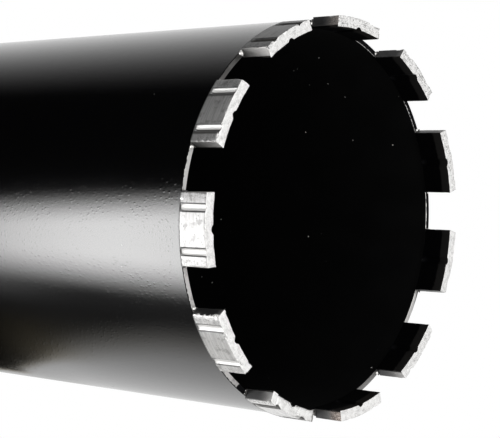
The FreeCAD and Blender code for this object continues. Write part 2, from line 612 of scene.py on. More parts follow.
@dataclass(frozen=True)
class SinteredMetal:
    """Sintered metal and diamond grit: open in front, ground on the outside, overspray at the back.

    Its lengths are in millimetres, as the places on the segment's mesh are. Some of its colour is painted
    light and shade: the near-black bare inner faces, the black groove walls, the shade beside the grooves and
    each segment's scaled ground grey.
    """

    name: str = "sintered_segment"
    size: Triple = (12.0, 4.0, 11.5)
    groove_place: float = 7.1
    open_greys: tuple[Colour, Colour] = ((0.58, 0.575, 0.565), (0.78, 0.775, 0.765))
    open_grain: Colour = (0.94, 0.935, 0.925)
    score: Colour = (0.14, 0.138, 0.135)
    vein: Colour = (0.08, 0.078, 0.076)
    crater: Colour = (0.06, 0.058, 0.056)
    ground_greys: tuple[Colour, Colour] = ((0.253, 0.251, 0.249), (0.343, 0.341, 0.338))
    stain: Colour = (0.129, 0.128, 0.126)
    mottle: Colour = (0.05, 0.047, 0.043)
    pit: Colour = (0.03, 0.03, 0.03)
    painted_groove_shade: Colour = (0.03, 0.028, 0.026)
    groove_greys: tuple[Colour, Colour] = ((0.6, 0.595, 0.585), (0.72, 0.715, 0.705))
    groove_dirt_and_shade: Colour = (0.02, 0.018, 0.016)
    end_greys: tuple[Colour, Colour] = ((0.14, 0.137, 0.132), (0.3, 0.294, 0.285))
    end_near_front: Colour = (0.5, 0.49, 0.48)
    end_fleck: Colour = (0.8, 0.79, 0.77)
    crust: Colour = (0.2, 0.155, 0.13)
    crust_light: Colour = (0.62, 0.55, 0.5)
    crust_dark: Colour = (0.05, 0.035, 0.03)
    painted_inner_shade: Colour = (0.022, 0.021, 0.02)
    paint: Colour = (0.004, 0.004, 0.0045)

    def open_metal(self, recipe: SegmentRecipe) -> Signal:
        """Colour of the open front: pale grains between scores, veins and craters.

        Args:
            recipe: The segment's recipe.

        Returns:
            The colour.
        """
        metal = recipe.blend(recipe.coarse.rise(0.3, 0.6), *self.open_greys)
        metal = recipe.blend(recipe.grain.rise(0.48, 0.72) * 0.7, metal, self.open_grain)
        scored = recipe.noise(0.26, 3.0, recipe.stretched((0.05, 1.0, 1.0), recipe.along), 0.6)
        scored = scored.rise(0.55, 0.68) * recipe.grit * 0.45
        metal = recipe.blend(scored.smaller(0.9), metal, self.score)
        vein = (recipe.noise(1.5 * MM, 1.5) - 0.5).size().rise(0.022, 0.002)
        vein = vein * (recipe.grit - 0.6).larger(0.0)
        metal = recipe.blend((vein * 0.9).smaller(0.9), metal, self.vein)
        return recipe.blend((recipe.crater * recipe.grit).smaller(1.0) * 0.85, metal, self.crater)

    def ground_metal(self, recipe: SegmentRecipe) -> Signal:
        """Colour of the ground outside: grinding streaks, stains, mottled ends and pits.

        Args:
            recipe: The segment's recipe.

        Returns:
            The colour.
        """
        ground = recipe.blend(recipe.streak.rise(0.34, 0.68), *self.ground_greys)
        ground = recipe.blend(recipe.stain.rise(0.52, 0.68) * 0.6, ground, self.stain)
        mottle = recipe.near_end * recipe.grain.rise(0.46, 0.6) * recipe.coarse.rise(0.4, 0.55)
        ground = recipe.blend((mottle * (recipe.dirt_and_shade * 0.5 + 0.5)).smaller(1.0), ground, self.mottle)
        ground = recipe.blend(recipe.pit * 0.9, ground, self.pit)
        # Painted shade on the land beside each groove, on its shaded side.
        beside = recipe.painted_shade_offset.rise(1.0, 1.3) * recipe.painted_shade_offset.rise(2.5, 1.8) * 0.8
        ground = recipe.blend(beside, ground, self.painted_groove_shade)
        # Painted light and shade: each segment's ground grey is scaled by how the light falls on it.
        return recipe.scaled(ground, recipe.tone)

    def groove_metal(self, recipe: SegmentRecipe) -> Signal:
        """Colour of the outer grooves: bright where clean, black where grimy and in painted shade, and black
        in a painted shade on their far side.

        Args:
            recipe: The segment's recipe.

        Returns:
            The colour.
        """
        groove = recipe.blend(recipe.stain, *self.groove_greys)
        # Partly grime and partly painted shade: the groove turns black over its whole width, and on its
        # shaded far side.
        dark = (recipe.dirt_and_shade * 0.95).larger(recipe.painted_shade_offset.rise(0.05, 0.45) * 0.93).smaller(1.0)
        return recipe.blend(dark, groove, self.groove_dirt_and_shade)

    def end_metal(self, recipe: SegmentRecipe) -> Signal:
        """Colour of the moulded ends: darker at the back, with flecks and a brown crust near the front.

        Args:
            recipe: The segment's recipe.

        Returns:
            The colour.
        """
        height = recipe.height
        metal = recipe.blend(recipe.coarse, *self.end_greys)
        metal = recipe.blend(height.rise(5.0, 11.5) * 0.7, metal, self.end_near_front)
        metal = recipe.blend(recipe.fleck * height.rise(6.5, 9.5) * 0.8, metal, self.end_fleck)
        crusted = recipe.crust * (height + (recipe.coarse - 0.5) * 3.0).rise(5.5, 8.0)
        metal = recipe.blend(crusted * 0.85, metal, self.crust)
        metal = recipe.blend(crusted * recipe.grain.rise(0.52, 0.6) * 0.9, metal, self.crust_light)
        return recipe.blend(crusted * recipe.grain.rise(0.46, 0.4) * 0.9, metal, self.crust_dark)

    def overspray(self, recipe: SegmentRecipe) -> Signal:
        """Where black paint has drifted onto the segment, and the black on the outer grooves' walls and
        closed start, which is painted shade and partly overspray.

        Args:
            recipe: The segment's recipe.

        Returns:
            The mask.
        """
        edge = recipe.height + (recipe.coarse - 0.5) * 1.4 + (recipe.grain - 0.5) * 0.6
        on_end = recipe.end * (edge - recipe.overspray * 9.0).rise(self.size[2] * 0.75, -0.5)
        on_inside = recipe.inside * edge.rise(8.2, 7.4)
        on_base = recipe.outside * (recipe.height + (recipe.grain - 0.5) * 0.6).rise(0.5, 0.2) * 0.8
        # The groove walls' black is painted shade, partly overspray.
        sprayed_and_shaded = reduce(Signal.larger, [on_end, on_inside, on_base, recipe.wall * 0.8])
        return sprayed_and_shaded * (1.0 - recipe.lump)

    def material(self) -> bpy.types.Material:
        """Build the material.

        Returns:
            The material.
        """
        recipe = SegmentRecipe(self.name, self.size, self.groove_place)
        front, outside, land, inside = recipe.front, recipe.outside, recipe.land, recipe.inside
        sprayed_and_shaded = self.overspray(recipe)
        metal = recipe.blend(land, self.groove_metal(recipe), self.ground_metal(recipe))
        metal = recipe.blend(1.0 - outside, metal, self.end_metal(recipe))
        # Painted shade: the bare inner faces turn near black, standing in for the shade inside the ring.
        metal = recipe.blend(inside * 0.97, metal, self.painted_inner_shade)
        metal = recipe.blend(front.larger(recipe.lump), metal, self.open_metal(recipe))
        clean = (1.0 - sprayed_and_shaded) * (1.0 - recipe.crater * front * 0.8)
        crumbs = recipe.coarse * 0.5 + recipe.grain * 0.5 - recipe.crater * 0.8
        crumbs = crumbs * (front + recipe.end * 0.2)
        relief = recipe.bump(recipe.streak * outside, 0.006 * MM, recipe.bump(crumbs, 0.2 * MM))
        recipe.dress(
            Base_Color=recipe.blend(sprayed_and_shaded, metal, self.paint),
            Metallic=(clean * (0.95 - front * 0.25 - recipe.end * 0.45)).larger(inside),
            Roughness=(
                land * (recipe.streak * 0.1 + 0.42)
                + (outside - land) * 0.62
                + front * (0.66 - recipe.grain * 0.2)
                + recipe.end * 0.5
                + inside * 0.6
            ),
            Normal=recipe.bump(1.0 - recipe.pit * land, 0.08 * MM, relief),
        )
        return recipe.material


@dataclass(frozen=True)
class SeamMetal:
    """Laser weld: dull, tinted dark by heat and overspray, with small bright beads."""

    name: str = "weld_bead"
    attribute: str = "bead"
    dull: Colour = (0.05, 0.048, 0.046)
    tinted: Colour = (0.16, 0.155, 0.15)
    bright: Colour = (0.72, 0.71, 0.69)
    grain_size: float = 0.35 * MM
    grain_depth: float = 0.05 * MM

    def material(self) -> bpy.types.Material:
        """Build the material.

        Returns:
            The material.
        """
        recipe = Recipe(self.name)
        bead = recipe.attribute(self.attribute, "Fac")
        grain = recipe.noise(self.grain_size, 3.0)
        seam = recipe.blend(grain, self.dull, self.tinted)
        recipe.dress(
            Base_Color=recipe.blend(bead.rise(0.3, 0.7), seam, self.bright),
            Metallic=bead * 0.5 + 0.5,
            Roughness=0.5 - bead * 0.22 + grain * 0.12,
            Normal=recipe.bump(grain, self.grain_depth),
        )
        return recipe.material


@dataclass(frozen=True)
class TurnedSteel:
    """Bare turned steel: fine rings round the axis, a thin film of oil and a few darker patches."""

    name: str = "turned_steel"
    colour: Colour = (0.46, 0.455, 0.445)
    dark: Colour = (0.2, 0.19, 0.175)
    ring_pitch: float = 0.18 * MM
    ring_depth: float = 0.01 * MM
    cloud_size: float = 6.0 * MM

    def material(self) -> bpy.types.Material:
        """Build the material.

        Returns:
            The material.
        """
        recipe = Recipe(self.name)
        _, _, height = recipe.axes()
        rings = recipe.rings(recipe.radius() + height, self.ring_pitch, 2.0)
        cloud = recipe.noise(self.cloud_size, 4.0)
        recipe.dress(
            Base_Color=recipe.blend(cloud.rise(0.48, 0.75) * 0.6, self.colour, self.dark),
            Metallic=1.0,
            Roughness=rings * 0.14 + cloud * 0.12 + 0.2,
            Normal=recipe.bump(rings, self.ring_depth),
        )
        return recipe.material


@dataclass(frozen=True)
class StudioFloor:
    """Pale floor. Near the foot it shows its own shade, and further out it is the white background."""

    name: str = "studio_floor"
    colour: Colour = (0.86, 0.86, 0.86)
    shade_radius: float = 0.10
    white_radius: float = 0.27

    def material(self) -> bpy.types.Material:
        """Build the material.

        Returns:
            The material.
        """
        recipe = Recipe(self.name)
        recipe.dress(Base_Color=self.colour, Roughness=0.9)
        share = recipe.shown() * recipe.radius().rise(self.shade_radius, self.white_radius)
        white = recipe.node("ShaderNodeEmission", {}, {"Color": WHITE, "Strength": 1.0})
        mixed = recipe.node("ShaderNodeMixShader", {}, {0: share})
        for number, shader in enumerate((recipe.surface, white), start=1):
            recipe.tree.links.new(shader.outputs[0], mixed.inputs[number])
        recipe.show(mixed)
        return recipe.material


# Mesh helpers


def spin(
    mesh: bmesh.types.BMesh,
    section: Section,
    steps: int,
    angle: float = math.tau,
    start: float = 0.0,
    climb: float = 0.0,
    closed: bool = True,
) -> None:
    """Spin a half section about the bit's axis.

    Args:
        mesh: The mesh that gets the new faces.
        section: Radius and height of each corner.
        steps: Number of steps.
        angle: How far it turns. After one full turn its ends are joined.
        start: Azimuth that it starts from.
        climb: How far it rises in each step.
        closed: Whether the last corner is joined to the first.
    """
    corners = [mesh.verts.new((radius, 0.0, height)) for radius, height in section]
    following = corners[1:] + (corners[:1] if closed else [])
    edges = [mesh.edges.new(pair) for pair in zip(corners, following)]
    bmesh.ops.rotate(mesh, verts=corners, cent=CENTRE, matrix=Matrix.Rotation(start, 3, AXIS))
    bmesh.ops.spin(
        mesh,
        geom=corners + edges,
        cent=CENTRE,
        axis=AXIS,
        angle=angle,
        steps=steps,
        dvec=(0.0, 0.0, climb),
        use_merge=angle == math.tau,
    )


def turned(section: Section, steps: int = 360) -> bmesh.types.BMesh:
    """Spin a closed half section all the way round.

    Args:
        section: Radius and height of each corner.
        steps: Number of steps round the axis.

    Returns:
        The ring-shaped solid.
    """
    mesh = bmesh.new()
    spin(mesh, section, steps)
    bmesh.ops.recalc_face_normals(mesh, faces=mesh.faces)
    return mesh


def ring_radius(place: Vector) -> float:
    """Distance of a place from the bit's axis."""
    return math.hypot(place.x, place.y)


def pull_radius(vertex: bmesh.types.BMVert, radius: float) -> None:
    """Move a vertex straight in or out.

    Args:
        vertex: The vertex.
        radius: Its new distance from the bit's axis.
    """
    old = ring_radius(vertex.co)
    vertex.co.x *= radius / old
    vertex.co.y *= radius / old


def limited(value: float, low: float, high: float) -> float:
    """The value, or the limit that it passes."""
    return min(max(value, low), high)


def put_in_scene(
    mesh: bmesh.types.BMesh, name: str, materials: Sequence[bpy.types.Material]
) -> bpy.types.Object:
    """Make an object of a finished mesh, in place.

    Args:
        mesh: The mesh, in the frame's own coordinates. It is used up.
        name: The object's name.
        materials: Its materials, in the order of the faces' material numbers.

    Returns:
        The object.
    """
    data = bpy.data.meshes.new(name)
    mesh.to_mesh(data)
    mesh.free()
    for material in materials:
        data.materials.append(material)
    thing = bpy.data.objects.new(name, data)
    bpy.context.scene.collection.objects.link(thing)
    return thing


def finish_piece(
    mesh: bmesh.types.BMesh,
    name: str,
    materials: Sequence[bpy.types.Material],
    node: str,
    crease: float = 35.0,
) -> bpy.types.Object:
    """Make a piece of the bit from a finished mesh, and hang it on the frame.

    Args:
        mesh: The mesh, in the frame's own coordinates. It is used up.
        name: The piece's name.
        materials: Its materials, in the order of the faces' material numbers.
        node: The CAD node that it stands for.
        crease: Angle past which an edge is drawn sharp, in degrees.

    Returns:
        The object.
    """
    for face in mesh.faces:
        face.smooth = True
    piece = put_in_scene(mesh, name, materials)
    piece.data.set_sharp_from_angle(angle=math.radians(crease))
    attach(piece, BODY)
    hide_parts(node)
    LOG.info("%s: %d faces, stands for %s", name, len(piece.data.polygons), node)
    return piece


# Sub-assemblies


@dataclass
class Barrel:
    """The drawn steel tube, painted inside and out, with a bare end face at the mouth."""

    paint: bpy.types.Material
    inner_paint: bpy.types.Material
    rim: bpy.types.Material
    wall: float = 2.0 * MM
    weld_groove: float = 1.5 * MM
    outer_chamfer: float = 0.3 * MM
    inner_chamfer: float = 0.2 * MM
    mouth_band: float = 30.0 * MM
    node: str = "barrel_tube"

    def build(self) -> bpy.types.Object:
        """Spin the tube and paint it by its faces.

        Returns:
            The piece.
        """
        low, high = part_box(self.node)
        outer = high.x
        inner = outer - self.wall
        section = [
            (inner, low.z),
            (outer - self.weld_groove, low.z),
            (outer, low.z + self.weld_groove),
            (outer, high.z - self.mouth_band),
            (outer, high.z - self.outer_chamfer),
            (outer - self.outer_chamfer, high.z),
            (inner + self.inner_chamfer, high.z),
            (inner, high.z - self.inner_chamfer),
            (inner, high.z - self.mouth_band),
        ]
        mesh = turned(section)
        finishes = [self.paint, self.inner_paint, self.rim]
        for face in mesh.faces:
            middle = face.calc_center_median()
            if middle.z > high.z - self.outer_chamfer:
                face.material_index = finishes.index(self.rim)
            elif ring_radius(middle) < inner + 0.5 * self.wall:
                face.material_index = finishes.index(self.inner_paint)
        return finish_piece(mesh, "painted_barrel", finishes, self.node)


@dataclass
class EndPlate:
    """The turned disc that closes the barrel and carries the hub."""

    paint: bpy.types.Material
    bore_radius: float = 20.0 * MM
    edge_chamfer: float = 1.5 * MM
    weld_groove: float = 1.5 * MM
    spigot_step: float = 2.0 * MM
    shoulder: float = 6.0 * MM
    edge_round: float = 0.4 * MM
    edge_angle: float = math.radians(25.0)
    node: str = "end_plate"

    def build(self) -> bpy.types.Object:
        """Spin the disc and round the edges of its chamfer.

        Returns:
            The piece.
        """
        low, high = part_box(self.node)
        outer = high.x
        top_of_shoulder = low.z + self.shoulder
        section = [
            (self.bore_radius, low.z),
            (outer - self.edge_chamfer, low.z),
            (outer, low.z + self.edge_chamfer),
            (outer, top_of_shoulder - self.weld_groove),
            (outer - self.weld_groove, top_of_shoulder),
            (outer - self.spigot_step, top_of_shoulder),
            (outer - self.spigot_step, high.z),
            (self.bore_radius, high.z),
        ]
        mesh = turned(section, steps=240)
        rings = [
            edge for edge in mesh.edges
            if edge.calc_face_angle(0.0) > self.edge_angle
            and edge.verts[0].co.z < low.z + self.edge_chamfer + 0.5 * MM
            and ring_radius(edge.verts[0].co) > 0.5 * outer
            and abs(edge.verts[0].co.z - edge.verts[1].co.z) < 0.1 * MM
        ]
        bmesh.ops.bevel(
            mesh,
            geom=rings,
            offset=self.edge_round,
            segments=3,
            profile=0.5,
            affect="EDGES",
            material=-1,
            clamp_overlap=True,
        )
        return finish_piece(mesh, "painted_end_plate", [self.paint], self.node)


@dataclass
class RippledWeld:
    """A ring weld laid bead by bead: a rounded crown with overlapping ripples."""

    paint: bpy.types.Material
    node: str
    name: str
    section: Section
    toes: tuple[Pair, Pair]
    crown: float
    ripple_pitch: float = 1.9 * MM
    ripple_height: float = 0.16 * MM
    ripple_bow: float = 0.35
    ripple_jitter: float = 0.12
    wander: float = 0.125 * MM
    steps: int = 900

    def build(self) -> bpy.types.Object:
        """Spin the section and lay the ripples on its crown.

        Returns:
            The piece.
        """
        mesh = turned(self.section, self.steps)
        middle_radius = sum(toe[0] for toe in self.toes) / 2
        middle_height = sum(toe[1] for toe in self.toes) / 2
        ripples = round(math.tau * middle_radius / self.ripple_pitch)
        out = Vector((self.toes[1][1] - self.toes[0][1], self.toes[0][0] - self.toes[1][0])).normalized()
        if out.x < 0:
            out = -out
        half_leg = math.dist(*self.toes) / 2
        for vertex in mesh.verts:
            angle = math.atan2(vertex.co.y, vertex.co.x)
            radius = ring_radius(vertex.co)
            lift = (radius - middle_radius) * out.x + (vertex.co.z - middle_height) * out.y
            if lift <= 0.02 * MM:
                continue
            along = (radius - middle_radius) * -out.y + (vertex.co.z - middle_height) * out.x
            bow = self.ripple_bow * (along / half_leg) ** 2
            jitter = self.ripple_jitter * noise.noise(vertex.co * 300.0)
            phase = (angle / math.tau * ripples + bow + jitter) % 1.0
            scale = min(1.0, lift / self.crown)
            drop = self.ripple_height * (phase ** 2) * scale
            drop += self.wander * scale * (0.5 + 0.5 * noise.noise(vertex.co * 90.0))
            pull_radius(vertex, radius - drop * out.x)
            vertex.co.z -= drop * out.y
        return finish_piece(mesh, self.name, [self.paint], self.node, 60.0)


@dataclass
class CouplingHub:
    """The round hub: painted outside, bare on its end face and in its right-handed coupling thread."""

    paint: bpy.types.Material
    steel: bpy.types.Material
    spigot_radius: float = 20.0 * MM
    spigot_height: float = 10.0 * MM
    edge_chamfer: float = 1.5 * MM
    thread_major: float = 15.875 * MM
    thread_minor: float = 14.05 * MM
    thread_pitch: float = 25.4 * MM / 7
    lead_chamfer: float = 2.35 * MM
    exit_chamfer: float = 1.0 * MM
    flat_distance: float = 20.5 * MM
    flat_bottom: float = 12.0 * MM
    flat_height: float = 20.0 * MM
    flat_edge: float = 0.04 * MM
    steps_per_turn: int = 96
    node: str = "coupling_hub"

    @property
    def finishes(self) -> list[bpy.types.Material]:
        """Its materials, in the order of the faces' material numbers."""
        return [self.paint, self.steel]

    def body(self, low: Vector, high: Vector) -> bmesh.types.BMesh:
        """Spin the hub and press its two spanner flats.

        Args:
            low: Lowest corner of the hub's box.
            high: Highest corner of the hub's box.

        Returns:
            The hub without its thread.
        """
        outer = high.x
        step = self.flat_edge
        flat_top = self.flat_bottom + self.flat_height
        lead = self.thread_minor + self.lead_chamfer
        section = [
            (lead, low.z),
            (outer - self.edge_chamfer, low.z),
            (outer, low.z + self.edge_chamfer),
            (outer, self.flat_bottom - step),
            (outer, self.flat_bottom + step),
            (outer, flat_top - step),
            (outer, flat_top + step),
            (outer, high.z - self.spigot_height),
            (self.spigot_radius, high.z - self.spigot_height),
            (self.spigot_radius, high.z),
            (self.thread_major, high.z),
            (self.thread_major, low.z + lead - self.thread_major),
        ]
        mesh = turned(section, steps=288)
        for vertex in mesh.verts:
            on_flat = self.flat_bottom < vertex.co.z < flat_top and ring_radius(vertex.co) > outer - MM
            if on_flat and abs(vertex.co.y) > self.flat_distance:
                vertex.co.y = math.copysign(self.flat_distance, vertex.co.y)
        bare = self.finishes.index(self.steel)
        for face in mesh.faces:
            middle = face.calc_center_median()
            if middle.z < low.z + 0.2 * MM or ring_radius(middle) < self.thread_major + 0.5 * MM:
                face.material_index = bare
        return mesh

    def add_thread(self, mesh: bmesh.types.BMesh, low: Vector, high: Vector) -> None:
        """Wind the thread's ridge up the bore.

        Args:
            mesh: The hub, which gets the ridge.
            low: Lowest corner of the hub's box.
            high: Highest corner of the hub's box.
        """
        buried = self.thread_major + 0.2 * MM
        root_half = self.thread_pitch * 7 / 16
        crest_half = self.thread_pitch / 8
        turns = (high.z - low.z) / self.thread_pitch
        ridge = [
            (buried, low.z - root_half),
            (self.thread_minor, low.z - crest_half),
            (self.thread_minor, low.z + crest_half),
            (buried, low.z + root_half),
        ]
        steps = round(turns * self.steps_per_turn)
        before = set(mesh.faces)
        spin(mesh, ridge, steps, math.tau * turns, climb=(high.z - low.z) / steps)
        wound = [face for face in mesh.faces if face not in before]
        rim = [edge for face in wound for edge in face.edges if edge.is_boundary]
        bmesh.ops.holes_fill(mesh, edges=list(set(rim)), sides=0)
        wound = [face for face in mesh.faces if face not in before]
        for vertex in {vertex for face in wound for vertex in face.verts}:
            lead = self.thread_minor + self.lead_chamfer - (vertex.co.z - low.z)
            leave = self.thread_minor + self.exit_chamfer - (high.z - vertex.co.z)
            least = max(lead, leave)
            vertex.co.z = limited(vertex.co.z, low.z + 0.3 * MM, high.z - 0.02 * MM)
            if ring_radius(vertex.co) < least:
                pull_radius(vertex, min(least, buried))
        bare = self.finishes.index(self.steel)
        for face in wound:
            face.material_index = bare
        bmesh.ops.recalc_face_normals(mesh, faces=wound)

    def build(self) -> bpy.types.Object:
        """Build the hub with its thread.

        Returns:
            The piece.
        """
        low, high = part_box(self.node)
        mesh = self.body(low, high)
        self.add_thread(mesh, low, high)
        return finish_piece(mesh, "threaded_hub", self.finishes, self.node)


@dataclass(frozen=True)
class SegmentWear:
    """How one segment's edges and faces look.

    The edges, the ends and the front are shares of the usual wear. The ground metal's grey is scaled for each
    segment as painted light and shade, by how the light falls on that segment. The overspray is the black on
    the ends and the grit the dark in the front face. The outer grooves are darkened, partly by grime and
    partly as painted shade, the crust is the brown on the ends, and a painted shade lies on the far side of
    the grooves.
    The scallop is how deep bites go into one outer edge in millimetres, and its sign gives the side.
    The crack is a sideways place, and each lump a sideways place, depth, height and radius, in millimetres.
    """

    outer_edge: float = 1.0
    inner_edge: float = 1.0
    ends: float = 1.0
    front: float = 1.0
    tone: float = 1.0
    overspray: float = 0.0
    grit: float = 0.5
    dirt_and_shade: float = 0.0
    crust: float = 0.0
    shade: float = 0.0
    scallop: float = 0.0
    crack: Optional[float] = None
    lumps: Sequence[tuple[float, float, float, float]] = ()


@dataclass
class RingPiece:
    """One of the like pieces round the mouth. The numbers run clockwise as seen from in front."""

    metal: bpy.types.Material
    number: int
    count: int

    @property
    def azimuth(self) -> float:
        """Where the piece sits round the mouth, in radians."""
        return -math.tau * (self.number - 1) / self.count


@dataclass
class CuttingSegment(RingPiece):
    """One curved bar of sintered metal with parallel sides, two grooves outside and one inside."""

    wear: SegmentWear = field(default_factory=SegmentWear)
    thickness: float = 4.0 * MM
    outer_groove_offset: float = 7.1 * MM
    outer_groove_width: float = 2.6 * MM
    outer_groove_depth: float = 0.75 * MM
    inner_groove_width: float = 3.0 * MM
    inner_groove_depth: float = 0.9 * MM
    groove_start: float = 2.4 * MM
    groove_close: float = 1.0 * MM
    groove_closed: float = 0.88
    groove_lip: float = 0.14 * MM
    groove_wander: float = 0.05 * MM
    edge_round: float = 0.24
    scallop_pitch: float = 2.5 * MM
    crack_width: float = 0.5 * MM
    torn_depth: float = 0.45 * MM
    mesh_step: float = 0.32 * MM

    @property
    def node(self) -> str:
        """Name of the CAD node that this segment stands for."""
        return f"segment_{self.number:02d}"

    @staticmethod
    def filled(marks: Sequence[float], step: float) -> list[float]:
        """Marks with even steps put between them.

        Args:
            marks: Places that a mesh line must pass through.
            step: Longest step between two lines.

        Returns:
            All lines in order.
        """
        ordered = sorted(set(marks))
        lines = [ordered[0]]
        for before, after in zip(ordered, ordered[1:]):
            parts = max(1, math.ceil((after - before) / step - 1e-6))
            lines += [before + (after - before) * part / parts for part in range(1, parts + 1)]
        return lines

    def groove_marks(self, centre: float, width: float, depth: float) -> list[float]:
        """Mesh lines that follow one groove's round bottom.

        Args:
            centre: Sideways place of the groove.
            width: Width of its mouth.
            depth: Depth of its floor.

        Returns:
            The lines' sideways places.
        """
        rod = (width * width / 4 + depth * depth) / (2 * depth)
        widest = math.asin(width / 2 / rod)
        inside = [centre + rod * math.sin(widest * part / 6) for part in range(-6, 7)]
        return inside + [centre - width / 2 - 0.15 * MM, centre + width / 2 + 0.15 * MM]

    def groove(self, offset: float, height: float, width: float, depth: float) -> float:
        """Depth of a groove with a flat bottom, rounded lips and a round start at the base.

        Args:
            offset: Sideways distance from the groove's middle.
            height: Height above the segment's base.
            width: Width of the groove's mouth.
            depth: Depth of its floor.

        Returns:
            The depth here, 0 outside the groove.
        """
        short = max(0.0, (self.groove_start - height) / self.groove_start)
        share = math.hypot(2.0 * offset / width, short)
        cut = depth * (1.0 - share ** 2.2)
        lip = self.groove_lip
        return 0.5 * (cut + math.sqrt(cut * cut + lip * lip)) if cut > -lip else 0.0

    def block(self, lines: Sequence[Sequence[float]]) -> bmesh.types.BMesh:
        """A cube cut along the lines of all three directions.

        Args:
            lines: The lines sideways, through the thickness and in height.

        Returns:
            The mesh, with each vertex at its place in the lines.
        """
        mesh = bmesh.new()
        bmesh.ops.create_cube(mesh, size=1.0)
        for axis, marks in enumerate(lines):
            along = [
                edge for edge in mesh.edges if abs(edge.verts[0].co[axis] - edge.verts[1].co[axis]) > 0.9
            ]
            bmesh.ops.subdivide_edges(mesh, edges=along, cuts=len(marks) - 2, use_grid_fill=True)
        for vertex in mesh.verts:
            for axis, marks in enumerate(lines):
                vertex.co[axis] = marks[round((vertex.co[axis] + 0.5) * (len(marks) - 1))]
        return mesh

    def edge_radius(self, place: Vector, share: float, spot: Vector) -> float:
        """How far the edges near a place are worn round.

        Args:
            place: Sideways, inward and height of the place.
            share: Share of the height, 0 at the base and 1 in front.
            spot: Place in the noise.

        Returns:
            The radius.
        """
        rough = noise.noise(spot * 520.0)
        fine = noise.noise(spot * 1300.0)
        crumb = max(0.0, rough + 0.5 * fine - 0.02)
        chip = max(0.0, noise.noise(spot * 190.0 + Vector((7.0, 3.0, 1.0))) - 0.26)
        outer = place.y < self.thickness / 2
        amount = self.wear.outer_edge if outer else self.wear.inner_edge * 0.45
        near_front = max(0.0, share * 1.6 - 0.6)
        bite = 0.0
        if outer and place.x * self.wear.scallop > 0.0:
            wave = 0.5 + 0.5 * math.cos(math.tau * (place.z / self.scallop_pitch + 0.25 * rough))
            bite = abs(self.wear.scallop) * wave ** 3
        eaten = amount * near_front * (1.1 * crumb + 2.0 * chip)
        return (self.edge_round + 0.06 * rough + bite + eaten) * MM

    def worn(self, place: Vector, size: Vector, spot: Vector) -> Vector:
        """Round a place on the block's surface where it lies near an edge.

        Args:
            place: Sideways, inward and height of the place.
            size: Half length, thickness and height of the block.
            spot: Place in the noise.

        Returns:
            The place on the worn block.
        """
        radius = self.edge_radius(place, place.z / size.z, spot)
        low = Vector((-size.x + radius, radius, 0.0))
        high = Vector((size.x - radius, size.y - radius, size.z - radius))
        core = Vector(tuple(limited(place[axis], low[axis], high[axis]) for axis in range(3)))
        out = place - core
        if out.length < 1e-9:
            return place
        return core + out.normalized() * min(radius, out.length) if out.length > radius else place

    def face_of(self, place: Vector, size: Vector) -> Face:
        """The face that a vertex of the plain block lies on.

        Args:
            place: Sideways, inward and height of the vertex.
            size: Half length, thickness and height of the block.

        Returns:
            The face.
        """
        if place.z > size.z - 1e-7:
            return Face.FRONT
        if place.z < 1e-7:
            return Face.BASE
        if abs(place.x) > size.x - 1e-7:
            return Face.END
        return Face.OUTSIDE if place.y < 1e-7 else Face.INSIDE

    def roughened(self, place: Vector, face: Face, spot: Vector) -> Vector:
        """Give each face its own relief, always into the metal.

        Args:
            place: The place on the worn block.
            face: The face that it lies on.
            spot: Place in the noise.

        Returns:
            The place with relief.
        """
        fine = 0.5 + 0.5 * noise.noise(spot * 1300.0)
        medium = 0.5 + 0.5 * noise.noise(spot * 520.0 + Vector((3.0, 9.0, 2.0)))
        hole = max(0.0, noise.noise(spot * 700.0 + Vector((11.0, 5.0, 8.0))) - 0.3)
        moved = place.copy()
        if face is Face.FRONT:
            moved.z -= self.wear.front * (0.06 * fine + 0.07 * medium + 0.45 * hole) * MM
            if self.wear.crack is not None:
                beside = place.x - self.wear.crack * MM - self.crack_width * noise.noise(spot * 400.0)
                torn = self.torn_depth if beside * self.wear.crack < 0.0 else 0.0
                moved.z -= torn + self.crack_width * max(0.0, 1.0 - abs(beside) / self.crack_width)
        elif face is Face.OUTSIDE:
            moved.y += (0.015 * fine + 0.03 * medium + 0.25 * max(0.0, hole - 0.12)) * MM
        elif face is Face.INSIDE:
            moved.y -= (0.02 * fine + 0.05 * medium) * MM
        elif face is Face.END:
            lump = self.wear.ends * (0.03 * fine + 0.05 * medium + 0.12 * hole) * MM
            moved.x -= math.copysign(lump, moved.x)
        return moved

    def add_lump(
        self, mesh: bmesh.types.BMesh, place: Vector, radius: float, outer_radius: float, base: float
    ) -> None:
        """Add one molten lump.

        Args:
            mesh: The segment's mesh.
            place: Sideways, inward and height of the lump's middle.
            radius: The lump's radius.
            outer_radius: Radius of the ring's outside.
            base: Height of the segment's base.
        """
        vectors = mesh.verts.layers.float_vector
        made = bmesh.ops.create_icosphere(mesh, subdivisions=3, radius=radius)
        for vertex in made["verts"]:
            bulge = 1.0 + 0.3 * noise.noise(vertex.co * 900.0 + place * 700.0)
            at = place + Vector((vertex.co.x * 0.75, vertex.co.y, vertex.co.z * 1.15)) * bulge
            at.y = max(at.y, 0.02 * MM)
            vertex[vectors[SegmentRecipe.PLACE]] = at / MM
            vertex[vectors[SegmentRecipe.FINISH]] = Vector((1.0, -1.0, 0.3))
            from_axis = outer_radius - at.y
            vertex.co = Vector((math.sqrt(from_axis ** 2 - at.x ** 2), at.x, base + at.z))

